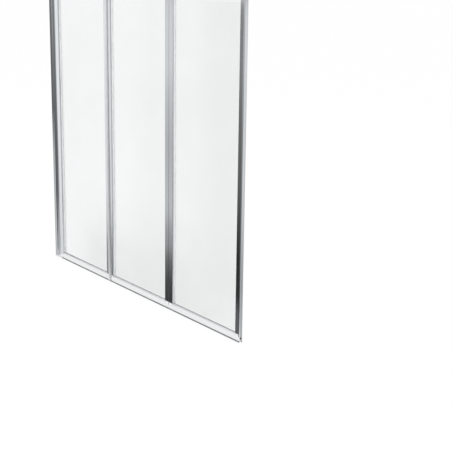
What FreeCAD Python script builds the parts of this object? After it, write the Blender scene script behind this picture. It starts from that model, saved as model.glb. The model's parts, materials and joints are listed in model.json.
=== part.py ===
import FreeCAD, Part
import math
import os

# Folding bath screen: three framed glass leaves in line, hung on a wall channel.
# Millimetres. X runs from the wall channel to the free end, Y from the outer to the inner face, Z up.
# The origin is the centre of the channel's back face.

# Whole screen
screen_width = 1300.0
screen_height = 1400.0
pivot_setback = 40.0
leaf_count = 3

# Extruded frame sections
profile_depth = 16.0
profile_wall = 1.4
edge_bevel_width = 0.6
free_end_radius = 3.5
hinge_stile_width = 24.0
free_stile_width = 21.0
wall_stile_reach = 30.0
wall_stile_lead = 5.0
rail_height = 20.0
groove_depth = 8.0

# Glass and its gasket
glass_thickness = 4.0
glass_setback = 2.0
gasket_wall = 1.4
gasket_lip = 2.0
gasket_overlap = 0.6

# Leaf hinges: the axis stands outside the face plane, so the leaves fold flat
joint_gap = 0.8
hinge_offset = 1.5
barrel_diameter = 10.0
barrel_root_radius = 2.0
hinge_pin_diameter = 4.0
pivot_pin_diameter = 6.0
pin_length = 22.0
pin_seat = 2.0
bush_wall = 1.2
bush_length = 18.0

# Clearances
running_gap = 0.5
axial_gap = 0.3
slide_gap = 0.2
fit_gap = 0.1
pin_gap = 0.05
overrun = 1.0

# End caps
cap_thickness = 3.0
cap_rib_height = 9.0
cap_rib_length = 6.0
cap_rib_thickness = 1.8

# Corner screws and their ports in the rails
port_diameter = 3.4
port_wall = 1.2
screw_head_diameter = 7.2
screw_head_height = 2.6
screw_bite = 16.0
access_diameter = 7.8
fastener_sides = 10

# Drip seal under the bottom rails
seal_drop = 6.0
seal_slot_mouth = 4.0
seal_slot_width = 8.0
seal_slot_height = 2.6
seal_foot_height = 2.0
seal_flange_width = 12.0
seal_flange_thickness = 1.2
seal_blade_root = 1.8
seal_blade_tip = 0.9
seal_blade_lean = 0.6

# Wall channel and the pivot profile that slides in it
channel_reach = 20.0
channel_wall = 1.4
channel_back = 2.0
pivot_profile_start = 8.0
pivot_profile_wall = 1.6
wall_hole_diameter = 6.0
wall_hole_heights = (190.0, 560.0)
wall_plug_length = 12.0
adjust_screw_x = 14.0
adjust_screw_spacing = 500.0
adjust_screw_diameter = 4.2
adjust_screw_length = 8.0
adjust_head_diameter = 8.4
adjust_head_height = 2.4
adjust_cover_wall = 1.2

# Levels and places worked out from the sizes above
half_depth = profile_depth / 2
half_gap = joint_gap / 2
leaf_pitch = (screen_width - pivot_setback) / leaf_count
hinge_reach = half_depth + hinge_offset
barrel_radius = barrel_diameter / 2
pivot_radius = half_depth
pivot_nest = pivot_radius + running_gap
floor_z = -screen_height / 2
top_z = screen_height / 2
frame_low = floor_z + seal_drop
frame_high = top_z
frame_mid = (frame_low + frame_high) / 2
stile_low = frame_low + cap_thickness
stile_high = frame_high - cap_thickness
barrel_low = stile_low + axial_gap
barrel_high = stile_high - axial_gap
channel_low = floor_z + cap_thickness
channel_high = top_z - cap_thickness
channel_half = half_depth + slide_gap + channel_wall
gasket_half = glass_thickness / 2 + gasket_wall
groove_half = gasket_half + fit_gap
groove_front = glass_setback - groove_half
groove_back = glass_setback + groove_half
glass_bite = groove_depth - gasket_wall
chamber_half = half_depth - profile_wall
slot_top = profile_wall + seal_slot_height
chamber_top = rail_height - groove_depth - profile_wall
port_height = (slot_top + profile_wall + chamber_top) / 2
port_rib_half = port_diameter / 2 + port_wall
screw_radius = port_diameter / 2 - slide_gap
seat_thickness = profile_wall + groove_depth


def point(x, y, z=0.0):
    return FreeCAD.Vector(x, y, z)


def polygon(*corners):
    return Part.Face(Part.makePolygon([*corners, corners[0]]))


def rectangle(x_a, x_b, y_a, y_b):
    x_low, x_high = sorted((x_a, x_b))
    y_low, y_high = sorted((y_a, y_b))
    return polygon(point(x_low, y_low), point(x_high, y_low), point(x_high, y_high), point(x_low, y_high))


def disc(x, y, radius):
    return Part.Face(Part.Wire(Part.makeCircle(radius, point(x, y))))


def many_sided(x, y, radius):
    """The outline of a small fastener or its hole: a regular polygon inside a circle."""
    step = 2 * math.pi / fastener_sides
    return polygon(*[point(x + radius * math.cos(step * side), y + radius * math.sin(step * side))
                     for side in range(fastener_sides)])


def rounded_off(x, y, towards_x, towards_y):
    """What the free end's round takes off a square corner whose inside lies in the two given directions."""
    square = rectangle(x - towards_x * overrun, x + towards_x * free_end_radius,
                       y - towards_y * overrun, y + towards_y * free_end_radius)
    return square.cut(disc(x + towards_x * free_end_radius, y + towards_y * free_end_radius, free_end_radius))


def bevelled_off(x, y, towards_x, towards_y):
    """What an edge chamfer takes off such a corner."""
    return polygon(point(x - towards_x * edge_bevel_width, y + towards_y * 2 * edge_bevel_width),
                   point(x + towards_x * 2 * edge_bevel_width, y - towards_y * edge_bevel_width),
                   point(x - towards_x * edge_bevel_width, y - towards_y * edge_bevel_width))


def joined(*faces):
    whole = faces[0].fuse(list(faces[1:]))
    return Part.makeShell(whole.Faces).removeSplitter().Faces[0]


def less(face, *openings):
    return face.cut(list(openings)).Faces[0]


def upright(face, low, high):
    """A section in plan, extruded between two levels."""
    solid = face.Faces[0].extrude(point(0, 0, high - low))
    solid.translate(point(0, 0, low))
    return solid


def lengthwise(face, start, end):
    """A section drawn as (Y, Z), extruded along X."""
    solid = face.Faces[0].extrude(point(0, 0, end - start))
    solid.Placement = FreeCAD.Placement(point(start, 0, 0), FreeCAD.Rotation(point(1, 1, 1), 120))
    return solid


def turned(outline, base, axis):
    """A half section (radius, distance along the axis) turned into a solid on the given axis."""
    solid = outline.revolve(point(0, 0), point(0, 1), 360)
    solid.Placement = FreeCAD.Placement(base, FreeCAD.Rotation(point(0, 1), axis))
    return solid


def rod(base, axis, radius, length):
    return Part.makeCylinder(radius, length, base, axis)


def fastener_rod(base, axis, radius, length):
    """A fastener's shank, its head or the hole for one."""
    solid = many_sided(0, 0, radius).extrude(point(0, 0, length))
    solid.Placement = FreeCAD.Placement(base, FreeCAD.Rotation(point(0, 0, 1), axis))
    return solid


def screw(base, axis, head_diameter, head_height, shank_radius, length):
    """A screw whose head starts at the base and whose shank follows along the axis."""
    seat = base + axis * head_height
    head = fastener_rod(base, axis, head_diameter / 2, head_height)
    return head.fuse(fastener_rod(seat, axis, shank_radius, length)).removeSplitter()


def mirrored_up(solid):
    return solid.mirror(point(0, 0, frame_mid), point(0, 0, 1))


def leaf_axis(number):
    """X of the axis on the wall side of a leaf, counted from 0."""
    return pivot_setback + number * leaf_pitch


def save(name, *solids):
    shape = solids[0] if len(solids) == 1 else Part.makeCompound(list(solids))
    shape.exportStep(os.path.join("parts", name + ".step"))


class Leaf:
    """Where the stiles of one leaf stand: edges and glass sides in X, hinge sides as signs of Y."""

    def __init__(self, number):
        self.name = "panel_%d" % (number + 1)
        self.left_axis = leaf_axis(number)
        self.right_axis = leaf_axis(number + 1)
        self.first = number == 0
        self.last = number == leaf_count - 1
        self.left_side = 1 if number % 2 == 0 else -1
        self.right_side = -self.left_side
        if self.first:
            self.left_edge = self.left_axis + pivot_nest
            self.left_glass = self.left_axis + wall_stile_reach
        else:
            self.left_edge = self.left_axis + half_gap
            self.left_glass = self.left_edge + hinge_stile_width
        if self.last:
            self.right_edge = screen_width
            self.right_glass = screen_width - free_stile_width
        else:
            self.right_edge = self.right_axis - half_gap
            self.right_glass = self.right_edge - hinge_stile_width


def glass_openings(glass_x, inward):
    """The groove for glass and gasket, and the hollow that saves metal in front of it."""
    floor_x = glass_x - inward * groove_depth
    groove = rectangle(floor_x, glass_x + inward * overrun, groove_front, groove_back)
    hollow = rectangle(floor_x, glass_x - inward * profile_wall, -chamber_half, groove_front - profile_wall)
    return groove, hollow


def chamber(edge_x, glass_x, inward):
    return rectangle(edge_x + inward * profile_wall, glass_x - inward * seat_thickness,
                     -chamber_half, chamber_half)


def glass_side_bevels(glass_x, inward):
    return [bevelled_off(glass_x, side * half_depth, -inward, -side) for side in (-1, 1)]


def wall_stile_outline(leaf):
    """First stile: its outer arm laps the pivot, its inner side stops short so the leaf can swing in."""
    body = rectangle(leaf.left_axis + wall_stile_lead, leaf.left_glass, -half_depth, half_depth)
    swing_room = rectangle(leaf.left_axis, leaf.left_edge, 0, half_depth + overrun)
    return less(body, swing_room, *glass_side_bevels(leaf.left_glass, 1))


def wall_stile_section(leaf):
    outline = less(wall_stile_outline(leaf), disc(leaf.left_axis, 0, pivot_nest))
    return less(outline, chamber(leaf.left_edge, leaf.left_glass, 1), *glass_openings(leaf.left_glass, 1))


def notched_stile_outline(leaf):
    body = rectangle(leaf.left_edge, leaf.left_glass, -half_depth, half_depth)
    plain_corner = bevelled_off(leaf.left_edge, -leaf.left_side * half_depth, 1, leaf.left_side)
    return less(body, plain_corner, *glass_side_bevels(leaf.left_glass, 1))


def notched_stile_section(leaf):
    """Left stile of a hinge: a hollow concentric with the neighbour's barrel."""
    axis_y = leaf.left_side * hinge_reach
    notch = barrel_radius + running_gap
    notch_back = disc(leaf.left_axis, axis_y, notch + profile_wall)
    inside = chamber(leaf.left_edge, leaf.left_glass, 1).cut(notch_back)
    outline = less(notched_stile_outline(leaf), disc(leaf.left_axis, axis_y, notch))
    return less(outline, inside, *glass_openings(leaf.left_glass, 1))


def barrel_stile_outline(leaf):
    body = rectangle(leaf.right_edge, leaf.right_glass, -half_depth, half_depth)
    plain_corner = bevelled_off(leaf.right_edge, -leaf.right_side * half_depth, -1, leaf.right_side)
    return less(body, plain_corner, *glass_side_bevels(leaf.right_glass, -1))


def barrel_root(leaf):
    """The filled corner between barrel and stile face, hollowed by an arc tangent to both."""
    side = leaf.right_side
    reach = barrel_radius + barrel_root_radius
    rise = barrel_root_radius - hinge_offset
    centre_x = leaf.right_axis - math.sqrt(reach ** 2 - rise ** 2)
    centre_y = side * (half_depth + barrel_root_radius)
    fill = polygon(point(leaf.right_axis, side * hinge_reach), point(centre_x, centre_y),
                   point(centre_x, side * half_depth), point(leaf.right_edge, side * half_depth))
    return fill.cut(disc(centre_x, centre_y, barrel_root_radius))


def barrel_stile_section(leaf):
    """Right stile of a hinge: hollow box with the hinge barrel on its corner."""
    axis_y = leaf.right_side * hinge_reach
    barrel = disc(leaf.right_axis, axis_y, barrel_radius)
    inside = chamber(leaf.right_edge, leaf.right_glass, -1).cut(barrel)
    bore = disc(leaf.right_axis, axis_y, bush_radius(hinge_pin_diameter) + fit_gap)
    outline = joined(barrel_stile_outline(leaf), barrel, barrel_root(leaf))
    return less(outline, inside, bore, *glass_openings(leaf.right_glass, -1))


def free_stile_outline(leaf):
    body = rectangle(leaf.right_edge, leaf.right_glass, -half_depth, half_depth)
    rounds = [rounded_off(leaf.right_edge, side * half_depth, -1, -side) for side in (-1, 1)]
    return less(body, *rounds, *glass_side_bevels(leaf.right_glass, -1))


def free_stile_section(leaf):
    return less(free_stile_outline(leaf), chamber(leaf.right_edge, leaf.right_glass, -1),
                *glass_openings(leaf.right_glass, -1))


def screw_levels():
    return (frame_low + port_height, frame_high - port_height)


def drilled(stile, edge_x, glass_x, inward, access_hole=fastener_rod):
    """Access hole in the outer wall and clearance hole in the web, at each corner screw."""
    seat_x = glass_x - inward * seat_thickness
    along = point(inward, 0)
    for level in screw_levels():
        start_x = edge_x - inward * 2 * overrun
        depth = abs(seat_x - start_x)
        stile = stile.cut(access_hole(point(start_x, 0, level), along, access_diameter / 2, depth))
        stile = stile.cut(fastener_rod(point(seat_x, 0, level), along, port_diameter / 2,
                                       seat_thickness + overrun))
    return stile


def bush_radius(pin_diameter):
    return pin_diameter / 2 + pin_gap + bush_wall


def bushes(axis_x, axis_y, pin_diameter):
    """Plain bushes, one in each end of a barrel, flush with its end."""
    inner = pin_diameter / 2 + pin_gap
    up = point(0, 0, 1)
    base = point(axis_x, axis_y, barrel_low)
    tube = rod(base, up, bush_radius(pin_diameter), bush_length)
    lower = tube.cut(rod(base, up, inner, bush_length))
    return lower, mirrored_up(lower)


def pins(axis_x, axis_y, pin_diameter):
    """Plain pins, each sunk from the inside into the end cap that carries it."""
    lower = rod(point(axis_x, axis_y, stile_low - pin_seat), point(0, 0, 1), pin_diameter / 2, pin_length)
    return lower, mirrored_up(lower)


def pin_hole(axis_x, axis_y, pin_diameter):
    base = point(axis_x, axis_y, stile_low - pin_seat)
    return rod(base, point(0, 0, 1), pin_diameter / 2 + pin_gap, pin_seat + overrun)


def cap_ribs(glass_x, inward, seat):
    """Two blades that plug into the stile's chamber, either side of the corner screw."""
    inner_end = glass_x - inward * (seat_thickness + fit_gap)
    outer_end = inner_end - inward * cap_rib_length
    ribs = []
    for side in (-1, 1):
        outside = side * (chamber_half - fit_gap)
        foot = rectangle(inner_end, outer_end, outside, outside - side * cap_rib_thickness)
        ribs.append(upright(foot, seat, seat + cap_rib_height))
    return ribs


def end_caps(outline, glass_x, inward, seat, pin=None):
    """Lower and upper cap of a stile that ends at the given seat, drilled where the cap carries a pin."""
    cap = upright(outline, frame_low, seat).fuse(cap_ribs(glass_x, inward, seat)).removeSplitter()
    if pin:
        cap = cap.cut(pin_hole(*pin))
    return cap, mirrored_up(cap)


def rail_section(with_slot):
    """Rail with its outer edge at 0 and its glass side at rail_height, screw port in the middle."""
    floor = slot_top + profile_wall if with_slot else profile_wall
    face = rectangle(-half_depth, half_depth, 0, rail_height)
    for side in (-1, 1):
        face = face.cut(bevelled_off(side * half_depth, 0, -side, 1))
        face = face.cut(bevelled_off(side * half_depth, rail_height, -side, -1))
        face = face.cut(rectangle(side * port_rib_half, side * chamber_half, floor, chamber_top))
    groove_floor = rail_height - groove_depth
    face = face.cut(rectangle(groove_front, groove_back, groove_floor, rail_height + overrun))
    face = face.cut(rectangle(-chamber_half, groove_front - profile_wall, groove_floor,
                              rail_height - profile_wall))
    face = face.cut(many_sided(0, port_height, port_diameter / 2))
    if with_slot:
        mouth = seal_slot_mouth / 2
        cavity = seal_slot_width / 2
        face = face.cut(rectangle(-mouth, mouth, -overrun, slot_top))
        face = face.cut(rectangle(-cavity, cavity, profile_wall, slot_top))
    return face


def rails(leaf):
    bottom = lengthwise(rail_section(True), leaf.left_glass, leaf.right_glass)
    bottom.translate(point(0, 0, frame_low))
    top = lengthwise(rail_section(False), leaf.left_glass, leaf.right_glass)
    top.translate(point(0, 0, frame_low))
    return bottom, mirrored_up(top)


def pane(leaf, outset, half_thickness):
    """A plate over the leaf's clear opening, grown by an outset on every side."""
    left = leaf.left_glass - outset
    low = frame_low + rail_height - outset
    length = leaf.right_glass - leaf.left_glass + 2 * outset
    height = frame_high - frame_low - 2 * rail_height + 2 * outset
    return Part.makeBox(length, 2 * half_thickness, height, point(left, glass_setback - half_thickness, low))


def gasket(leaf):
    """One closed band: a channel wrapped round the glass edge, with lips that cover the groove's mouth."""
    lip_half = gasket_half + gasket_overlap
    band = pane(leaf, groove_depth, gasket_half).fuse(pane(leaf, 0, lip_half)).removeSplitter()
    band = band.cut(pane(leaf, -gasket_lip, lip_half + overrun))
    return band.cut(pane(leaf, glass_bite + fit_gap, glass_thickness / 2 + fit_gap))


def corner_screws(leaf):
    """One screw at each corner, its head on the stile's web and its thread in the rail's port."""
    screws = []
    for glass_x, inward in ((leaf.left_glass, 1), (leaf.right_glass, -1)):
        head_x = glass_x - inward * (seat_thickness + screw_head_height)
        for level in screw_levels():
            screws.append(screw(point(head_x, 0, level), point(inward, 0), screw_head_diameter,
                                screw_head_height, screw_radius, seat_thickness + screw_bite))
    return screws


def drip_seal(leaf):
    """Foot in the rail's slot, flange against the frame, and a blade along each side of the flange."""
    neck = seal_slot_mouth / 2 - fit_gap
    foot = seal_slot_width / 2 - slide_gap
    flange = seal_flange_width / 2
    key_section = joined(rectangle(-neck, neck, -seal_flange_thickness, profile_wall + seal_foot_height),
                         rectangle(-foot, foot, profile_wall, profile_wall + seal_foot_height))
    tip = flange + seal_blade_lean
    half_section = [(flange, 0), (flange, -seal_flange_thickness), (tip, -seal_drop),
                    (tip - seal_blade_tip, -seal_drop), (flange - seal_blade_root, -seal_flange_thickness)]
    blade_section = polygon(*[point(-y, z) for y, z in half_section],
                            *[point(y, z) for y, z in reversed(half_section)])
    key = lengthwise(key_section, leaf.left_glass, leaf.right_glass)
    seal = lengthwise(blade_section, leaf.left_edge, leaf.right_edge).fuse(key).removeSplitter()
    seal.translate(point(0, 0, frame_low))
    return seal


def make_left_stile(leaf):
    if leaf.first:
        section = wall_stile_section(leaf)
        axis_y = 0
        pin_diameter = pivot_pin_diameter
        cap_outline = joined(wall_stile_outline(leaf), disc(leaf.left_axis, axis_y, pivot_radius))
        names = ("wall_stile", "pivot_caps", "pivot_pins")
    else:
        section = notched_stile_section(leaf)
        axis_y = leaf.left_side * hinge_reach
        pin_diameter = hinge_pin_diameter
        cap_outline = joined(notched_stile_outline(leaf), disc(leaf.left_axis, axis_y, barrel_radius))
        names = ("left_stile", "pin_caps", "hinge_pins")
    stile = drilled(upright(section, stile_low, stile_high), leaf.left_edge, leaf.left_glass, 1)
    pin = (leaf.left_axis, axis_y, pin_diameter)
    stile_name, cap_name, pin_name = [leaf.name + "_" + name for name in names]
    save(stile_name, stile)
    save(cap_name, *end_caps(cap_outline, leaf.left_glass, 1, stile_low, pin))
    save(pin_name, *pins(*pin))


def make_hinge_stile(leaf):
    axis_y = leaf.right_side * hinge_reach
    stile = upright(barrel_stile_section(leaf), barrel_low, barrel_high)
    turning_room = disc(leaf.right_axis, axis_y, barrel_radius + running_gap)
    cap_outline = less(barrel_stile_outline(leaf), turning_room)
    save(leaf.name + "_barrel_stile", drilled(stile, leaf.right_edge, leaf.right_glass, -1))
    save(leaf.name + "_barrel_caps", *end_caps(cap_outline, leaf.right_glass, -1, barrel_low))
    save(leaf.name + "_hinge_bushes", *bushes(leaf.right_axis, axis_y, hinge_pin_diameter))


def make_free_stile(leaf):
    stile = upright(free_stile_section(leaf), stile_low, stile_high)
    save(leaf.name + "_end_stile", drilled(stile, leaf.right_edge, leaf.right_glass, -1, rod))
    save(leaf.name + "_end_caps", *end_caps(free_stile_outline(leaf), leaf.right_glass, -1, stile_low))


def make_leaf(number):
    leaf = Leaf(number)
    make_left_stile(leaf)
    if leaf.last:
        make_free_stile(leaf)
    else:
        make_hinge_stile(leaf)
    bottom, top = rails(leaf)
    save(leaf.name + "_bottom_rail", bottom)
    save(leaf.name + "_top_rail", top)
    save(leaf.name + "_glass", pane(leaf, glass_bite, glass_thickness / 2))
    save(leaf.name + "_gasket", gasket(leaf))
    save(leaf.name + "_corner_screws", *corner_screws(leaf))
    save(leaf.name + "_drip_seal", drip_seal(leaf))


def adjust_levels():
    return (-adjust_screw_spacing, 0, adjust_screw_spacing)


def make_wall_channel():
    """Open channel with the mounting screw holes through its back."""
    inside = half_depth + slide_gap
    section = less(rectangle(0, channel_reach, -channel_half, channel_half),
                   rectangle(channel_back, channel_reach + overrun, -inside, inside))
    channel = upright(section, channel_low, channel_high)
    for height in wall_hole_heights:
        for level in (-height, height):
            channel = channel.cut(rod(point(-overrun, 0, level), point(1, 0), wall_hole_diameter / 2,
                                      channel_back + 2 * overrun))
    for level in adjust_levels():
        channel = channel.cut(fastener_rod(point(adjust_screw_x, inside - overrun, level), point(0, 1),
                                           adjust_screw_diameter / 2 + slide_gap, channel_wall + 2 * overrun))
    save("wall_channel", channel)


def make_pivot_profile():
    """Box that slides in the channel for adjustment, ending in the round pivot barrel."""
    bore_radius = bush_radius(pivot_pin_diameter) + fit_gap
    inside_half = half_depth - pivot_profile_wall
    box = rectangle(pivot_profile_start, pivot_setback, -half_depth, half_depth)
    inside = less(rectangle(pivot_profile_start + pivot_profile_wall, pivot_setback - bore_radius,
                            -inside_half, inside_half),
                  disc(pivot_setback, 0, bore_radius + pivot_profile_wall))
    outline = joined(box, disc(pivot_setback, 0, pivot_radius))
    profile = upright(less(outline, inside, disc(pivot_setback, 0, bore_radius)), barrel_low, barrel_high)
    thread_radius = adjust_screw_diameter / 2 + fit_gap
    for level in adjust_levels():
        profile = profile.cut(fastener_rod(point(adjust_screw_x, inside_half - overrun, level), point(0, 1),
                                           thread_radius, pivot_profile_wall + 2 * overrun))
    save("pivot_profile", profile)
    save("wall_pivot_bushes", *bushes(pivot_setback, 0, pivot_pin_diameter))


def make_adjusting_screws():
    """Screws that clamp the pivot profile from the inner side, each under a domed cover."""
    head_room = adjust_head_diameter / 2 + slide_gap
    room_height = adjust_head_height + slide_gap
    rim = head_room + adjust_cover_wall
    crown = room_height + adjust_cover_wall
    dome_radius = (rim ** 2 + adjust_cover_wall ** 2) / (2 * adjust_cover_wall)
    half_turn = math.asin(rim / dome_radius) / 2
    dome_mid = point(dome_radius * math.sin(half_turn), crown - dome_radius * (1 - math.cos(half_turn)))
    cover = Part.Face(Part.Wire([
        Part.makeLine(point(head_room, 0), point(rim, 0)),
        Part.makeLine(point(rim, 0), point(rim, room_height)),
        Part.Arc(point(rim, room_height), dome_mid, point(0, crown)).toShape(),
        Part.makeLine(point(0, crown), point(0, room_height)),
        Part.makeLine(point(0, room_height), point(head_room, room_height)),
        Part.makeLine(point(head_room, room_height), point(head_room, 0)),
    ]))
    screws = []
    covers = []
    for level in adjust_levels():
        head_top = point(adjust_screw_x, channel_half + adjust_head_height, level)
        screws.append(screw(head_top, point(0, -1), adjust_head_diameter, adjust_head_height,
                            adjust_screw_diameter / 2, adjust_screw_length))
        covers.append(turned(cover, point(adjust_screw_x, channel_half, level), point(0, 1)))
    save("adjusting_screws", *screws)
    save("adjusting_screw_covers", *covers)


def wall_end_cap(outer, channel_end, profile_end, plug_end):
    """Plate over the channel's end, hollowed round the pivot, with a step and plug for the pivot profile."""
    pivot_room = disc(pivot_setback, 0, pivot_nest)
    step = less(rectangle(pivot_profile_start, pivot_setback, -half_depth, half_depth), pivot_room)
    plate = less(joined(rectangle(0, channel_reach, -channel_half, channel_half),
                        rectangle(0, pivot_setback, -half_depth, half_depth)), pivot_room)
    plug_start = pivot_profile_start + pivot_profile_wall + fit_gap
    plug_half = half_depth - pivot_profile_wall - fit_gap
    plug = rectangle(plug_start, plug_start + wall_plug_length, -plug_half, plug_half)
    cap = upright(plate, outer, channel_end).fuse([upright(step, channel_end, profile_end),
                                                   upright(plug, profile_end, plug_end)])
    return cap.removeSplitter()


def make_wall_end_caps():
    lower = wall_end_cap(floor_z, channel_low, barrel_low, barrel_low + cap_rib_height)
    upper = wall_end_cap(top_z, channel_high, barrel_high, barrel_high - cap_rib_height)
    save("wall_end_caps", lower, upper)


os.makedirs("parts", exist_ok=True)
make_wall_channel()
make_pivot_profile()
make_adjusting_screws()
make_wall_end_caps()
for leaf_number in range(leaf_count):
    make_leaf(leaf_number)
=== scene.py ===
import bmesh
import bpy
import json
import math
from mathutils import Matrix, Vector


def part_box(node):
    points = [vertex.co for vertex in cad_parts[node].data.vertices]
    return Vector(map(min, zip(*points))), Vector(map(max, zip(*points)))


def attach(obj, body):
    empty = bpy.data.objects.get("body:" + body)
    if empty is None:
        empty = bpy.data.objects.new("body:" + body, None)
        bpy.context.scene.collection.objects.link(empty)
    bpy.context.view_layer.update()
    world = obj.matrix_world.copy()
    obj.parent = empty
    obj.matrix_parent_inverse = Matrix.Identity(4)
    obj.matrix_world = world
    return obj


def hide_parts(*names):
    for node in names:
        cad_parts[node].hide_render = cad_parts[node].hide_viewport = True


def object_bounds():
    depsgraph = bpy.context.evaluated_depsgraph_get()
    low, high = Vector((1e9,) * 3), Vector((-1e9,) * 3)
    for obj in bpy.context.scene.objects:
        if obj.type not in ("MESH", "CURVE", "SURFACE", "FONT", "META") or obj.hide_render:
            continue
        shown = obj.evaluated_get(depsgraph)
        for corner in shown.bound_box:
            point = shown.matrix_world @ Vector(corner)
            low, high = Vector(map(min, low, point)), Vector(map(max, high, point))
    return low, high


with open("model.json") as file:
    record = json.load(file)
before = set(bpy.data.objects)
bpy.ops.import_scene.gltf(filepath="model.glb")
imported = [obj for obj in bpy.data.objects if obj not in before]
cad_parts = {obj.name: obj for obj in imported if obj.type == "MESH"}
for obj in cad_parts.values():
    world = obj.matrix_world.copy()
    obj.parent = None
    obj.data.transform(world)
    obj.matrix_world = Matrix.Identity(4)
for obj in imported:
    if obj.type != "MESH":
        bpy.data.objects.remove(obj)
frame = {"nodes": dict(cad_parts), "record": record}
cad_low, cad_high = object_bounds()

# Metres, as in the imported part
mm = 0.001
floor_level = cad_low[2]
stile_depth = 16 * mm

# The photograph's viewpoint, with the lens and its sensor in millimetres
view_place = Vector((3.7999, -1.9200, 0.4634))
view_bearing = math.radians(-53.448)
view_drop = math.radians(13.710)
view_tilt = math.radians(0.826)
view_lens = 80.65
view_sensor = 36

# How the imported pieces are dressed
weld_distance = 2e-6
flat_angle = math.radians(0.6)
sharp_angle = math.radians(28)
round_steps = 2
round_profile = 0.5
extrusion_round = 0.35 * mm
moulding_round = 0.5 * mm
glass_round = 0.6 * mm
rubber_round = 0.22 * mm
turned_round = 0.3 * mm
strong_face_weight = 100

# Screws, drawn in millimetres and scaled down where they are placed
screw_sides = 20
screw_angles = [2 * math.pi * side / screw_sides for side in range(screw_sides)]
dome_rings = 5
crown_share = 0.55
head_rim_share = 0.9
thread_pitch = 1.4
thread_depth = 0.32
rings_per_turn = 6
recess_width = 1.1
recess_span = 4.2
recess_depth = 1.3
recess_foot_share = 0.6

bodies = frame["record"]["behaviour"]["bodies"]
body_of_node = {node: body for body, nodes in bodies.items() for node in nodes}


# Node helpers

def new_group(name, inputs, outputs):
    """An empty shader node group with float or vector sockets, and its two end nodes."""
    group = bpy.data.node_groups.new(name, "ShaderNodeTree")
    for label, kind in inputs:
        group.interface.new_socket(name=label, in_out="INPUT", socket_type=kind)
    for label, kind in outputs:
        group.interface.new_socket(name=label, in_out="OUTPUT", socket_type=kind)
    start = group.nodes.new("NodeGroupInput")
    end = group.nodes.new("NodeGroupOutput")
    return group, start, end


def add_node(tree, kind, **settings):
    """A new node with some of its settings."""
    node = tree.nodes.new(kind)
    for label, value in settings.items():
        setattr(node, label, value)
    return node


def feed(tree, source, target):
    """Links an output to an input."""
    tree.links.new(source, target)


def math_node(tree, operation, first, second):
    """A Math node whose inputs are sockets or plain numbers."""
    node = add_node(tree, "ShaderNodeMath", operation=operation)
    for place, value in enumerate((first, second)):
        if isinstance(value, (int, float)):
            node.inputs[place].default_value = value
        else:
            feed(tree, value, node.inputs[place])
    return node.outputs[0]


def noise(tree, position, detail):
    """A noise texture that follows a position."""
    texture = add_node(tree, "ShaderNodeTexNoise")
    texture.inputs["Detail"].default_value = detail
    feed(tree, position, texture.inputs["Vector"])
    return texture


def spread(tree, mask, low, high):
    """Maps a 0 to 1 mask onto a range."""
    node = add_node(tree, "ShaderNodeMapRange")
    feed(tree, mask, node.inputs["Value"])
    node.inputs["To Min"].default_value = low
    node.inputs["To Max"].default_value = high
    return node.outputs["Result"]


def smooth_step(tree, value, first, last):
    """A Map Range node that eases from one end to the other between two values."""
    node = add_node(tree, "ShaderNodeMapRange", interpolation_type="SMOOTHSTEP")
    node.inputs["From Min"].default_value = first
    node.inputs["From Max"].default_value = last
    feed(tree, value, node.inputs["Value"])
    return node


def tone(tree, mask, dark, light):
    """A colour between two others, by a mask."""
    ramp = add_node(tree, "ShaderNodeValToRGB")
    ramp.color_ramp.elements[0].color = (*dark, 1)
    ramp.color_ramp.elements[1].color = (*light, 1)
    feed(tree, mask, ramp.inputs["Fac"])
    return ramp.outputs["Color"]


def show_mixed(tree, share, first, second):
    """Puts a mix of two shaders on the surface, by the share of the second."""
    choose = add_node(tree, "ShaderNodeMixShader")
    feed(tree, share, choose.inputs["Fac"])
    feed(tree, first, choose.inputs[1])
    feed(tree, second, choose.inputs[2])
    feed(tree, choose.outputs["Shader"], tree.nodes["Material Output"].inputs["Surface"])


# Effects that several finishes share

broad_line_scale = 260
fine_line_scale = 1500
line_mask_range = (-0.4, 1.8)
patch_roughness = 0.62
patch_edges = (0.36, 0.72)


def make_drawn_lines():
    """Fine marks, which become lines along a direction in which the position put in is stretched."""
    group, start, end = new_group("drawn_lines", [("Position", "NodeSocketVector")],
                                  [("Mask", "NodeSocketFloat"), ("Height", "NodeSocketFloat")])
    broad = noise(group, start.outputs["Position"], detail=2)
    broad.inputs["Scale"].default_value = broad_line_scale
    fine = noise(group, start.outputs["Position"], detail=3)
    fine.inputs["Scale"].default_value = fine_line_scale
    both = math_node(group, "MULTIPLY", broad.outputs["Fac"], fine.outputs["Fac"])
    feed(group, spread(group, both, *line_mask_range), end.inputs["Mask"])
    feed(group, fine.outputs["Fac"], end.inputs["Height"])
    return group


def make_handling_marks():
    """Broad soft patches where a surface has been touched and wiped."""
    group, start, end = new_group("handling_marks",
                                  [("Position", "NodeSocketVector"), ("Scale", "NodeSocketFloat")],
                                  [("Mask", "NodeSocketFloat")])
    patches = noise(group, start.outputs["Position"], detail=5)
    patches.inputs["Roughness"].default_value = patch_roughness
    feed(group, start.outputs["Scale"], patches.inputs["Scale"])
    sharpened = smooth_step(group, patches.outputs["Fac"], *patch_edges)
    feed(group, sharpened.outputs["Result"], end.inputs["Mask"])
    return group


def make_moulded_grain():
    """The fine skin of a moulding."""
    group, start, end = new_group("moulded_grain",
                                  [("Position", "NodeSocketVector"), ("Scale", "NodeSocketFloat")],
                                  [("Mask", "NodeSocketFloat"), ("Height", "NodeSocketFloat")])
    skin = noise(group, start.outputs["Position"], detail=4)
    cells = add_node(group, "ShaderNodeTexVoronoi")
    feed(group, start.outputs["Position"], cells.inputs["Vector"])
    for texture in (skin, cells):
        feed(group, start.outputs["Scale"], texture.inputs["Scale"])
    feed(group, skin.outputs["Fac"], end.inputs["Mask"])
    pitted = math_node(group, "MULTIPLY", skin.outputs["Fac"], cells.outputs["Distance"])
    feed(group, pitted, end.inputs["Height"])
    return group


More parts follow.
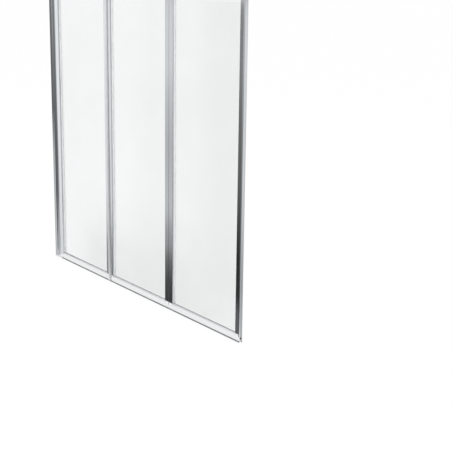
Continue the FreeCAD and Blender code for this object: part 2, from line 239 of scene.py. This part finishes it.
drawn_lines = make_drawn_lines()
handling_marks = make_handling_marks()
moulded_grain = make_moulded_grain()


# Finishes

upright_line_shares = (1, 1, 0.004)
level_line_shares = (0.004, 1, 1)
barrel_line_shares = (1, 1, 0.02)
line_depth = 0.02 * mm
grain_depth = 0.03 * mm
rubber_grain_depth = 0.05 * mm
gasket_grain_scale = 2200
seal_grain_scale = 1600
glass_tint = (0.94, 0.95, 0.95)


class Finish:
    """A material with its shader, and the position on the piece that its textures follow."""

    def __init__(self, name):
        self.material = bpy.data.materials.new(name)
        self.material.use_nodes = True
        self.tree = self.material.node_tree
        self.shader = self.tree.nodes["Principled BSDF"]
        self.position = add_node(self.tree, "ShaderNodeTexCoord").outputs["Object"]

    def stretched(self, line_shares):
        """The position, with marks drawn out along each direction that has a small share."""
        mapping = add_node(self.tree, "ShaderNodeMapping")
        mapping.inputs["Scale"].default_value = line_shares
        feed(self.tree, self.position, mapping.inputs["Vector"])
        return mapping.outputs["Vector"]

    def effect(self, group, position, **values):
        """Places a shared effect with values of its own, and gives its outputs."""
        node = add_node(self.tree, "ShaderNodeGroup", node_tree=group)
        feed(self.tree, position, node.inputs["Position"])
        for label, value in values.items():
            node.inputs[label].default_value = value
        return node.outputs

    def constant(self, label, value):
        """Sets a plain value on the shader."""
        self.shader.inputs[label].default_value = value

    def colour(self, mask, dark, light):
        """Lets a mask choose the base colour between two others."""
        feed(self.tree, tone(self.tree, mask, dark, light), self.shader.inputs["Base Color"])

    def roughness(self, mask, low, high):
        """Lets a mask choose the roughness within a range."""
        feed(self.tree, spread(self.tree, mask, low, high), self.shader.inputs["Roughness"])

    def bump(self, height, strength, depth):
        """Gives the surface a fine relief."""
        node = add_node(self.tree, "ShaderNodeBump")
        node.inputs["Strength"].default_value = strength
        node.inputs["Distance"].default_value = depth
        feed(self.tree, height, node.inputs["Height"])
        feed(self.tree, node.outputs["Normal"], self.shader.inputs["Normal"])


def make_polished_aluminium(name, line_shares):
    """Bright polished extrusion: drawn lines along its length and a trace of handling."""
    finish = Finish(name)
    finish.constant("Metallic", 1.0)
    lines = finish.effect(drawn_lines, finish.stretched(line_shares))
    marks = finish.effect(handling_marks, finish.position, Scale=14.0)
    finish.colour(lines["Mask"], dark=(0.83, 0.835, 0.845), light=(0.90, 0.905, 0.91))
    both = math_node(finish.tree, "ADD", marks["Mask"], lines["Mask"])
    finish.roughness(math_node(finish.tree, "DIVIDE", both, 2), low=0.045, high=0.13)
    finish.bump(lines["Height"], strength=0.05, depth=line_depth)
    return finish.material


def make_satin_aluminium():
    """The hinge barrels, matt where the leaves turn, with drawn lines along their length."""
    finish = Finish("satin_aluminium")
    finish.constant("Metallic", 0.6)
    lines = finish.effect(drawn_lines, finish.stretched(barrel_line_shares))
    finish.colour(lines["Mask"], dark=(0.84, 0.845, 0.85), light=(0.91, 0.915, 0.92))
    finish.roughness(lines["Mask"], low=0.36, high=0.52)
    finish.bump(lines["Height"], strength=0.08, depth=line_depth)
    return finish.material


def make_silver_moulding():
    """Silver lacquered end caps."""
    finish = Finish("silver_moulding")
    finish.constant("Metallic", 0.9)
    grain = finish.effect(moulded_grain, finish.position, Scale=1800.0)
    marks = finish.effect(handling_marks, finish.position, Scale=60.0)
    finish.colour(marks["Mask"], dark=(0.76, 0.765, 0.775), light=(0.83, 0.835, 0.84))
    finish.roughness(grain["Mask"], low=0.14, high=0.3)
    finish.bump(grain["Height"], strength=0.08, depth=grain_depth)
    return finish.material


def make_rubber(name, grain_scale, dark, light):
    """Rubber with a matt skin and a little dust."""
    finish = Finish(name)
    grain = finish.effect(moulded_grain, finish.position, Scale=grain_scale)
    marks = finish.effect(handling_marks, finish.position, Scale=35.0)
    finish.colour(marks["Mask"], dark, light)
    finish.roughness(grain["Mask"], low=0.42, high=0.68)
    finish.bump(grain["Height"], strength=0.12, depth=rubber_grain_depth)
    return finish.material


def make_bush_nylon():
    """Cream nylon of the bushes."""
    finish = Finish("bush_nylon")
    grain = finish.effect(moulded_grain, finish.position, Scale=900.0)
    finish.colour(grain["Mask"], dark=(0.78, 0.775, 0.75), light=(0.88, 0.875, 0.85))
    finish.roughness(grain["Mask"], low=0.35, high=0.55)
    finish.bump(grain["Height"], strength=0.06, depth=grain_depth)
    return finish.material


def make_bright_steel():
    """Pins and screws, with plain fine marks."""
    finish = Finish("bright_steel")
    finish.constant("Metallic", 1.0)
    lines = finish.effect(drawn_lines, finish.position)
    finish.colour(lines["Mask"], dark=(0.56, 0.56, 0.565), light=(0.68, 0.68, 0.68))
    finish.roughness(lines["Mask"], low=0.16, high=0.32)
    finish.bump(lines["Height"], strength=0.06, depth=line_depth)
    return finish.material


def make_clear_glass():
    """Clear toughened glass with a trace of dried water, which lamp light and bounced light pass."""
    finish = Finish("clear_glass_sheet")
    finish.constant("Transmission Weight", 1.0)
    finish.constant("IOR", 1.5)
    marks = finish.effect(handling_marks, finish.position, Scale=7.0)
    finish.colour(marks["Mask"], dark=(0.925, 0.931, 0.930), light=(0.943, 0.948, 0.947))
    finish.roughness(marks["Mask"], low=0.0, high=0.012)
    path = add_node(finish.tree, "ShaderNodeLightPath").outputs
    passes = math_node(finish.tree, "MAXIMUM", path["Is Shadow Ray"], path["Is Diffuse Ray"])
    clear = add_node(finish.tree, "ShaderNodeBsdfTransparent")
    clear.inputs["Color"].default_value = (*glass_tint, 1)
    show_mixed(finish.tree, passes, finish.shader.outputs["BSDF"], clear.outputs["BSDF"])
    return finish.material


upright_aluminium = make_polished_aluminium("polished_aluminium_upright", upright_line_shares)
level_aluminium = make_polished_aluminium("polished_aluminium_level", level_line_shares)
satin_aluminium = make_satin_aluminium()
silver_moulding = make_silver_moulding()
gasket_rubber = make_rubber("gasket_rubber_skin", gasket_grain_scale,
                            dark=(0.07, 0.072, 0.075), light=(0.11, 0.112, 0.116))
# A pale copy of the gasket rubber for the upright runs: painted light, not a second rubber
painted_light_gasket_rubber = make_rubber("painted_light_gasket_rubber_skin", gasket_grain_scale,
                                 dark=(0.84, 0.845, 0.85), light=(0.9, 0.905, 0.91))
seal_rubber = make_rubber("seal_rubber_skin", seal_grain_scale,
                          dark=(0.16, 0.165, 0.17), light=(0.23, 0.235, 0.24))
bush_nylon = make_bush_nylon()
bright_steel = make_bright_steel()
clear_glass = make_clear_glass()


# Pieces

def make_piece(shape, material, node_name):
    """A smooth-shaded piece from a bmesh, riding on the body of the node that it stands for."""
    name = node_name + "_finished"
    mesh = bpy.data.meshes.new(name)
    bmesh.ops.recalc_face_normals(shape, faces=shape.faces)
    for face in shape.faces:
        face.smooth = True
    for edge in shape.edges:
        edge.smooth = not (edge.is_manifold and edge.calc_face_angle() > sharp_angle)
    shape.to_mesh(mesh)
    shape.free()
    mesh.materials.append(material)
    piece = bpy.data.objects.new(name, mesh)
    bpy.context.scene.collection.objects.link(piece)
    normals = piece.modifiers.new("even_faces", "WEIGHTED_NORMAL")
    normals.keep_sharp = True
    normals.weight = strong_face_weight
    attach(piece, body_of_node[node_name])
    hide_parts(node_name)
    return piece


def packed_shape(node_name):
    """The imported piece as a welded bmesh."""
    shape = bmesh.new()
    shape.from_mesh(frame["nodes"][node_name].data)
    bmesh.ops.remove_doubles(shape, verts=shape.verts, dist=weld_distance)
    return shape


def rounded_piece(node_name, material, edge_round):
    """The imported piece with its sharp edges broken, as the real one leaves the saw and the polisher."""
    shape = packed_shape(node_name)
    bmesh.ops.dissolve_limit(shape, angle_limit=flat_angle, verts=shape.verts, edges=shape.edges)
    sharp = [edge for edge in shape.edges if edge.is_manifold and edge.calc_face_angle() > sharp_angle]
    bmesh.ops.bevel(shape, geom=sharp, offset=edge_round, offset_type="OFFSET", segments=round_steps,
                    profile=round_profile, affect="EDGES", clamp_overlap=True)
    bmesh.ops.remove_doubles(shape, verts=shape.verts, dist=weld_distance)
    return make_piece(shape, material, node_name)


def brush_barrel(piece):
    """Gives the barrel, which stands out of the stile's faces, its satin finish."""
    piece.data.materials.append(satin_aluminium)
    for face in piece.data.polygons:
        if abs(face.center.y) > stile_depth / 2 + extrusion_round:
            face.material_index = 1


def painted_light_uprights(piece):
    """Gives the two upright runs of a gasket a pale copy of its rubber, painted light that makes them
    lighter than the level runs, which keep the dark rubber.
    """
    piece.data.materials.append(painted_light_gasket_rubber)
    corners = [Vector(corner) for corner in piece.bound_box]
    low_x = min(corner.x for corner in corners)
    high_x = max(corner.x for corner in corners)
    low_z = min(corner.z for corner in corners)
    high_z = max(corner.z for corner in corners)
    for face in piece.data.polygons:
        from_side = min(face.center.x - low_x, high_x - face.center.x)
        from_end = min(face.center.z - low_z, high_z - face.center.z)
        if from_side < from_end:
            face.material_index = 1


def loose_solids(node_name):
    """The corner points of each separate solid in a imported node."""
    shape = packed_shape(node_name)
    waiting = set(shape.verts)
    solids = []
    while waiting:
        reached = [waiting.pop()]
        for vert in reached:
            neighbours = [edge.other_vert(vert) for edge in vert.link_edges]
            fresh = [other for other in neighbours if other in waiting]
            waiting.difference_update(fresh)
            reached.extend(fresh)
        solids.append([vert.co.copy() for vert in reached])
    shape.free()
    return solids


class ScrewSize:
    """Sizes in millimetres of one packed screw, and the turn and place that put a screw on it."""

    def __init__(self, points):
        low = Vector([min(spot[axis] for spot in points) for axis in range(3)])
        high = Vector([max(spot[axis] for spot in points) for axis in range(3)])
        extent = high - low
        self.axis = max(range(3), key=lambda axis: extent[axis])
        self.centre = (low + high) / 2
        widest = max(points, key=self.from_axis)
        self.head_radius = self.from_axis(widest) / mm
        self.shank_radius = min(self.from_axis(spot) for spot in points) / mm
        head_is_low = widest[self.axis] < self.centre[self.axis]
        inward = Vector((0, 0, 0))
        inward[self.axis] = 1 if head_is_low else -1
        base = self.centre.copy()
        base[self.axis] = low[self.axis] if head_is_low else high[self.axis]
        rim_radius = head_rim_share * self.head_radius * mm
        seat = max(abs(spot[self.axis] - base[self.axis]) for spot in points
                   if self.from_axis(spot) > rim_radius)
        self.head_height = seat / mm
        self.length = extent[self.axis] / mm
        turn = Vector((0, 0, 1)).rotation_difference(inward).to_matrix().to_4x4()
        self.place = Matrix.Translation(base) @ turn @ Matrix.Scale(mm, 4)

    def from_axis(self, spot):
        """How far a point lies from the screw's axis, in metres."""
        away = spot - self.centre
        away[self.axis] = 0
        return away.length


def closed_rings(rings):
    """A skin over rings of points, closed at both ends."""
    shape = bmesh.new()
    loops = [[shape.verts.new(spot) for spot in ring] for ring in rings]
    for upper, lower in zip(loops, loops[1:]):
        for side in range(len(upper)):
            after = (side + 1) % len(upper)
            shape.faces.new((upper[side], upper[after], lower[after], lower[side]))
    shape.faces.new(loops[0])
    shape.faces.new(loops[-1])
    bmesh.ops.recalc_face_normals(shape, faces=shape.faces)
    return shape


def ring_of(radius, distance):
    """Points of a level circle round Z."""
    return [Vector((radius * math.cos(angle), radius * math.sin(angle), distance)) for angle in screw_angles]


def screw_blank(size):
    """Domed head and threaded shank on Z, head first, in millimetres."""
    crown = size.head_height * crown_share
    rings = []
    for step in range(1, dome_rings + 1):
        angle = math.pi / 2 * step / dome_rings
        rings.append(ring_of(size.head_radius * math.sin(angle), crown * (1 - math.cos(angle))))
    rings.append(ring_of(size.head_radius, size.head_height))
    rings.append(ring_of(size.shank_radius, size.head_height))
    thread_start = size.head_height + thread_pitch
    turns = math.floor((size.length - thread_start) / thread_pitch) - 1
    for step in range(turns * rings_per_turn):
        turned = step / rings_per_turn
        ring = []
        for angle in screw_angles:
            groove_share = (1 + math.cos(2 * math.pi * turned - angle)) / 2
            radius = size.shank_radius - thread_depth * groove_share
            ring.append(Vector((radius * math.cos(angle), radius * math.sin(angle),
                                thread_start + turned * thread_pitch)))
        rings.append(ring)
    rings.append(ring_of(size.shank_radius - thread_depth, size.length - thread_depth))
    rings.append(ring_of(size.shank_radius - 2 * thread_depth, size.length))
    return closed_rings(rings)


def cross_cutter():
    """The driver's cross, narrowing with depth."""
    half_span = recess_span / 2
    half_width = recess_width / 2
    outline = [(half_span, half_width), (half_width, half_width), (half_width, half_span)]
    quarter_turns = [Matrix.Rotation(math.pi / 2 * quarter, 2) for quarter in range(4)]
    corners = [turn @ Vector(spot) for turn in quarter_turns for spot in outline]
    rings = []
    for share, distance in ((1, -recess_depth), (1, 0), (recess_foot_share, recess_depth)):
        rings.append([Vector((share * spot.x, share * spot.y, distance)) for spot in corners])
    return closed_rings(rings)


def cut_out(shape, cutter):
    """One bmesh less another."""
    blanks = []
    for part in (shape, cutter):
        mesh = bpy.data.meshes.new("blank")
        part.to_mesh(mesh)
        part.free()
        blank = bpy.data.objects.new("blank", mesh)
        bpy.context.scene.collection.objects.link(blank)
        blanks.append(blank)
    cut = blanks[0].modifiers.new("recess", "BOOLEAN")
    cut.operation = "DIFFERENCE"
    cut.object = blanks[1]
    result = bmesh.new()
    result.from_object(blanks[0], bpy.context.evaluated_depsgraph_get())
    for blank in blanks:
        mesh = blank.data
        bpy.data.objects.remove(blank)
        bpy.data.meshes.remove(mesh)
    return result


def screw_piece(node_name):
    """Real screws, with a domed head, a driver's cross and a thread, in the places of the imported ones."""
    shape = bmesh.new()
    for points in loose_solids(node_name):
        size = ScrewSize(points)
        one = cut_out(screw_blank(size), cross_cutter())
        mesh = bpy.data.meshes.new("blank")
        one.to_mesh(mesh)
        one.free()
        mesh.transform(size.place)
        shape.from_mesh(mesh)
        bpy.data.meshes.remove(mesh)
    return make_piece(shape, bright_steel, node_name)


upright_nodes = ["wall_channel", "pivot_profile", "panel_1_wall_stile", "panel_1_barrel_stile",
                 "panel_2_left_stile", "panel_2_barrel_stile", "panel_3_left_stile", "panel_3_end_stile"]
cap_nodes = ["wall_end_caps", "adjusting_screw_covers", "panel_1_pivot_caps", "panel_1_barrel_caps",
             "panel_2_pin_caps", "panel_2_barrel_caps", "panel_3_pin_caps", "panel_3_end_caps"]
pin_nodes = ["panel_1_pivot_pins", "panel_2_hinge_pins", "panel_3_hinge_pins"]
bush_nodes = ["wall_pivot_bushes", "panel_1_hinge_bushes", "panel_2_hinge_bushes"]
for node_name in upright_nodes:
    piece = rounded_piece(node_name, upright_aluminium, extrusion_round)
    if node_name.endswith("barrel_stile"):
        brush_barrel(piece)
for node_name in cap_nodes:
    rounded_piece(node_name, silver_moulding, moulding_round)
for node_name in pin_nodes:
    rounded_piece(node_name, bright_steel, turned_round)
for node_name in bush_nodes:
    rounded_piece(node_name, bush_nylon, turned_round)
for panel in ("panel_1", "panel_2", "panel_3"):
    rounded_piece(panel + "_bottom_rail", level_aluminium, extrusion_round)
    rounded_piece(panel + "_top_rail", level_aluminium, extrusion_round)
    rounded_piece(panel + "_glass", clear_glass, glass_round)
    # The upright runs of each gasket get the pale copy of the rubber, painted light
    painted_light_uprights(rounded_piece(panel + "_gasket", gasket_rubber, rubber_round))
    rounded_piece(panel + "_drip_seal", seal_rubber, rubber_round)
    screw_piece(panel + "_corner_screws")
screw_piece("adjusting_screws")


# Stage floor, and cards whose grades are (distance, grey) stops

stage_reach = 120.0
whole_stage = (-stage_reach, stage_reach)
floor_white = (0.96, 0.96, 0.96)
floor_glow_share = 0.86
card_rise = 1 * mm
card_level = floor_level + card_rise
cool_shares = (0.97, 1.0, 1.02)
frontward = (0, -1, 0)
backward = (0, 1, 0)
leftward = (-1, 0, 0)
upward = (0, 0, 1)


def stage_plane(name, corners, material):
    """A flat sheet that belongs to the stage."""
    mesh = bpy.data.meshes.new(name)
    mesh.from_pydata([Vector(corner) for corner in corners], [], [tuple(range(len(corners)))])
    mesh.materials.append(material)
    plane = bpy.data.objects.new(name, mesh)
    bpy.context.scene.collection.objects.link(plane)
    return plane


def level_sheet(x_span, y_span, level):
    """The corners of a level oblong."""
    x_low, x_high = x_span
    y_low, y_high = y_span
    return [(x_low, y_low, level), (x_high, y_low, level), (x_high, y_high, level), (x_low, y_high, level)]


def seen_directly(tree):
    """1 for what the camera sees, straight on, in metal or through glass; 0 for soft bounced light."""
    path = add_node(tree, "ShaderNodeLightPath").outputs
    total = math_node(tree, "ADD", path["Is Camera Ray"], path["Is Glossy Ray"])
    total = math_node(tree, "ADD", total, path["Is Transmission Ray"])
    return math_node(tree, "MINIMUM", total, 1)


def make_floor_paint():
    """Pale floor that looks white and keeps the part's shadow."""
    material = bpy.data.materials.new("pale_floor")
    material.use_nodes = True
    tree = material.node_tree
    shader = tree.nodes["Principled BSDF"]
    shader.inputs["Base Color"].default_value = (*floor_white, 1)
    shader.inputs["Roughness"].default_value = 1.0
    shader.inputs["Specular IOR Level"].default_value = 0.0
    glow = add_node(tree, "ShaderNodeEmission")
    share = math_node(tree, "MULTIPLY", seen_directly(tree), floor_glow_share)
    show_mixed(tree, share, shader.outputs["BSDF"], glow.outputs["Emission"])
    return material


def new_card_paint(name):
    """A card paint with no grey yet, and the place on the card."""
    material = bpy.data.materials.new(name)
    material.use_nodes = True
    tree = material.node_tree
    tree.nodes.remove(tree.nodes["Principled BSDF"])
    place = add_node(tree, "ShaderNodeNewGeometry")
    return material, place.outputs["Position"]


def distance_along(tree, place, direction):
    """How far a place lies along a direction of the stage."""
    node = add_node(tree, "ShaderNodeVectorMath", operation="DOT_PRODUCT")
    node.inputs[1].default_value = direction
    feed(tree, place, node.inputs[0])
    return node.outputs["Value"]


def starting_at(start, grades):
    """Grades whose distances are counted from a start."""
    return [(start + distance, grey) for distance, grey in grades]


def graded(tree, distance, grades):
    """A grey that changes with distance."""
    stops = [stop for stop, grey in grades]
    greys = [grey for stop, grey in grades]
    first = stops[0]
    last = stops[-1]
    reach = add_node(tree, "ShaderNodeMapRange")
    reach.inputs["From Min"].default_value = first
    reach.inputs["From Max"].default_value = last
    feed(tree, distance, reach.inputs["Value"])
    ramp = add_node(tree, "ShaderNodeValToRGB")
    elements = ramp.color_ramp.elements
    for stop in stops[1:-1]:
        elements.new((stop - first) / (last - first))
    for element, grey in zip(elements, greys):
        element.color = (grey, grey, grey, 1)
    feed(tree, reach.outputs["Result"], ramp.inputs["Fac"])
    return ramp.outputs["Color"]


def faded(tree, distance, first, last, before, after):
    """One grey that fades into another between two distances."""
    fade = smooth_step(tree, distance, first, last)
    feed(tree, before, fade.inputs["To Min"])
    feed(tree, after, fade.inputs["To Max"])
    return fade.outputs["Result"]


def show_mirrored(tree, grey):
    """Gives a card its slightly cool grey where metal or glass mirrors it, and leaves it clear elsewhere."""
    cool = add_node(tree, "ShaderNodeVectorMath", operation="SCALE")
    cool.inputs[0].default_value = cool_shares
    feed(tree, grey, cool.inputs["Scale"])
    glow = add_node(tree, "ShaderNodeEmission")
    feed(tree, cool.outputs["Vector"], glow.inputs["Color"])
    clear = add_node(tree, "ShaderNodeBsdfTransparent")
    path = add_node(tree, "ShaderNodeLightPath")
    mirrored = math_node(tree, "MINIMUM", path.outputs["Glossy Depth"], 1)
    show_mixed(tree, mirrored, clear.outputs["BSDF"], glow.outputs["Emission"])


def make_card_paint(name, direction, grades):
    """A card paint graded along one direction of the stage."""
    material, place = new_card_paint(name)
    tree = material.node_tree
    show_mirrored(tree, graded(tree, distance_along(tree, place, direction), grades))
    return material


def mirror_card(name, corners, material):
    """A card that shows in polished metal and glass and nowhere else."""
    card = stage_plane(name, corners, material)
    card.visible_camera = False
    card.visible_diffuse = False
    card.visible_shadow = False


def floor_card(name, x_span, y_span, material):
    """A mirrored card that lies just above the floor."""
    mirror_card(name, level_sheet(x_span, y_span, card_level), material)


stage_plane("floor", level_sheet(whole_stage, whole_stage, floor_level), make_floor_paint())


# Card on the floor in front, in fans, with distances from the middle plane of the leaves

front_card_start = 53.5 * mm
pane_fade_share = 0.6
nose_fade_gap = 0.75
nose_fade_half_width = 0.50
left_end_grades = [(0.05, 0.80), (9.0, 0.90)]
hinge_1_grades = [(0.05, 0.22), (0.3, 0.36), (0.42, 0.57), (0.65, 0.74), (0.9, 0.82), (5.0, 0.89)]
hinge_2_grades = [(0.05, 0.05), (0.2, 0.08), (0.37, 0.17), (0.5, 0.33), (0.65, 0.39),
                  (0.9, 0.57), (2.0, 0.52), (5.5, 0.73)]
free_end_grades = [(0.05, 0.13), (0.2, 0.12), (0.3, 0.04), (0.6, 0.03), (1.5, 0.12), (6.0, 0.24)]
camera_side_grades = [(0.05, 0.08), (0.8, 0.15), (1.5, 0.18), (4.0, 0.28), (8.0, 0.5)]


def fade_behind(node_name):
    """The middle of a glass, and half the width over which the card fades behind it."""
    low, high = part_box(node_name)
    return ((low[0] + high[0]) / 2, pane_fade_share * (high[0] - low[0]) / 2)


def make_front_paint(name, fans, fades):
    """A card paint in fans, one for each stretch of the leaves that mirrors it towards the viewpoint."""
    material, place = new_card_paint(name)
    tree = material.node_tree
    reach = distance_along(tree, place, frontward)
    slid = distance_along(tree, place, (1, view_place.x / view_place.y, 0))
    widened = math_node(tree, "ADD", math_node(tree, "DIVIDE", reach, -view_place.y), 1)
    foot = math_node(tree, "DIVIDE", slid, widened)
    grey = graded(tree, reach, fans[0])
    for grades, (middle, half_width) in zip(fans[1:], fades):
        grey = faded(tree, foot, middle - half_width, middle + half_width, grey, graded(tree, reach, grades))
    show_mirrored(tree, grey)
    return material


front_fans = [left_end_grades, hinge_1_grades, hinge_2_grades, free_end_grades, camera_side_grades]
front_fades = [fade_behind("panel_1_glass"), fade_behind("panel_2_glass"), fade_behind("panel_3_glass"),
               (cad_high[0] + nose_fade_gap, nose_fade_half_width)]
floor_card("front_card", whole_stage, (-stage_reach, -front_card_start),
           make_front_paint("front_card_grey", front_fans, front_fades))


# Cards on the floor behind, beyond the free end and beyond the wall channel

back_card_start = 60 * mm
back_grades = [(back_card_start, 0.80), (0.4, 0.70), (1.0, 0.50), (2.5, 0.42), (6.0, 0.54)]
end_card_gap = 5 * mm
end_card_start = cad_high[0] + end_card_gap
end_card_side = 12 * mm
end_slope = 0.6
end_grades = starting_at(-end_slope * cad_high[0],
                         [(0.0, 0.55), (0.08, 0.38), (0.13, 0.44), (0.19, 0.56), (0.29, 0.70), (1.5, 0.78)])
end_fade_slope = 0.75
end_fade_gap = 0.495
end_fade_width = 0.80
end_fade_start = end_fade_gap - end_fade_slope * cad_high[0]
end_fade_stop = end_fade_start + end_fade_width
left_card_gap = 5 * mm
left_card_start = cad_low[0] - left_card_gap
left_grades = starting_at(-cad_low[0], [(left_card_gap, 0.72), (0.6, 0.62), (2.5, 0.46), (8.0, 0.58)])


def make_end_paint(name):
    """A card paint for the floor beyond the free end, which fades into the grey of the card behind."""
    material, place = new_card_paint(name)
    tree = material.node_tree
    end_grey = graded(tree, distance_along(tree, place, (-end_slope, 1, 0)), end_grades)
    back_grey = graded(tree, distance_along(tree, place, backward), back_grades)
    across = distance_along(tree, place, (-end_fade_slope, 1, 0))
    show_mirrored(tree, faded(tree, across, end_fade_start, end_fade_stop, end_grey, back_grey))
    return material


floor_card("back_card", (-stage_reach, end_card_start), (back_card_start, stage_reach),
           make_card_paint("back_card_grey", backward, back_grades))
floor_card("end_card", (end_card_start, stage_reach), (end_card_side, stage_reach),
           make_end_paint("end_card_grey"))
floor_card("wall_card", (-stage_reach, left_card_start), (-front_card_start, back_card_start),
           make_card_paint("wall_card_grey", leftward, left_grades))


# Upright cards far in front and behind, so that what is mirrored above the floor pales slowly to white

far_reach = 30.0
far_grades = starting_at(floor_level, [(0, 0.58), (far_reach / 4, 0.70), (far_reach, 1.0)])
for name, y in (("far_front_card", -far_reach), ("far_back_card", far_reach)):
    corners = [(-stage_reach, y, floor_level), (stage_reach, y, floor_level),
               (stage_reach, y, floor_level + far_reach), (-stage_reach, y, floor_level + far_reach)]
    mirror_card(name, corners, make_card_paint(name + "_grey", upward, far_grades))


# Narrow upright cards beside the wall channel, graded with height above the floor

side_card_gap = 4 * mm
channel_card_span = (-20.8 * mm, -11.2 * mm)
channel_card_grades = [(0.10, 0.58), (0.45, 0.46), (0.63, 0.14), (0.81, 0.15), (1.40, 0.26)]
pivot_card_span = (-31.5 * mm, -20.9 * mm)
pivot_card_grades = [(0.0, 0.50), (0.10, 0.42), (0.28, 0.16), (0.45, 0.13), (0.63, 0.15), (1.40, 0.28)]
stile_card_span = (-46.5 * mm, -32.5 * mm)
stile_card_grades = [(0.0, 0.78), (0.28, 0.86), (0.70, 0.93)]


def side_card(name, y_span, grades):
    """An upright card that the pieces next to the wall channel mirror."""
    x = cad_low[0] - side_card_gap
    y_low, y_high = y_span
    corners = [(x, y_low, floor_level), (x, y_high, floor_level),
               (x, y_high, cad_high[2]), (x, y_low, cad_high[2])]
    mirror_card(name, corners, make_card_paint(name + "_grey", upward, starting_at(floor_level, grades)))


side_card("channel_card", channel_card_span, channel_card_grades)
side_card("pivot_card", pivot_card_span, pivot_card_grades)
side_card("wall_stile_card", stile_card_span, stile_card_grades)


# Light, camera and view

lamp_aim = Vector((0.6, 0, -0.5))
key_lamp_place = Vector((2.6, -2.4, 3.2))
key_lamp_size = 2.5
key_lamp_power = 60
fill_lamp_place = Vector((-1.8, 2.2, 2.8))
fill_lamp_size = 3.0
fill_lamp_power = 25


def soft_lamp(name, place, size, power):
    """A square lamp that lights the part and doesn't show in its metal."""
    lamp = bpy.data.lights.new(name, "AREA")
    lamp.shape = "SQUARE"
    lamp.size = size
    lamp.energy = power
    lamp_object = bpy.data.objects.new(name, lamp)
    bpy.context.scene.collection.objects.link(lamp_object)
    lamp_object.location = place
    lamp_object.rotation_euler = (lamp_aim - place).to_track_quat("-Z", "Y").to_euler()
    lamp_object.visible_glossy = False


world = bpy.data.worlds.new("studio")
bpy.context.scene.world = world
world.use_nodes = True
background = world.node_tree.nodes["Background"]
background.inputs["Color"].default_value = (1, 1, 1, 1)
background.inputs["Strength"].default_value = 1.0
soft_lamp("key_lamp", key_lamp_place, key_lamp_size, key_lamp_power)
soft_lamp("fill_lamp", fill_lamp_place, fill_lamp_size, fill_lamp_power)

forward = Vector((math.sin(view_bearing) * math.cos(view_drop), math.cos(view_bearing) * math.cos(view_drop),
                  -math.sin(view_drop)))
level_right = Vector((math.cos(view_bearing), -math.sin(view_bearing), 0))
level_up = level_right.cross(forward)
right = level_right * math.cos(view_tilt) + level_up * math.sin(view_tilt)
up = level_up * math.cos(view_tilt) - level_right * math.sin(view_tilt)
turn = Matrix((right, up, -forward)).transposed()
camera = bpy.data.cameras.new("camera")
camera.sensor_width = view_sensor
camera.lens = view_lens
camera_object = bpy.data.objects.new("camera", camera)
bpy.context.scene.collection.objects.link(camera_object)
camera_object.matrix_world = Matrix.Translation(view_place) @ turn.to_4x4()
bpy.context.scene.camera = camera_object
bpy.context.scene.view_settings.view_transform = "Standard"
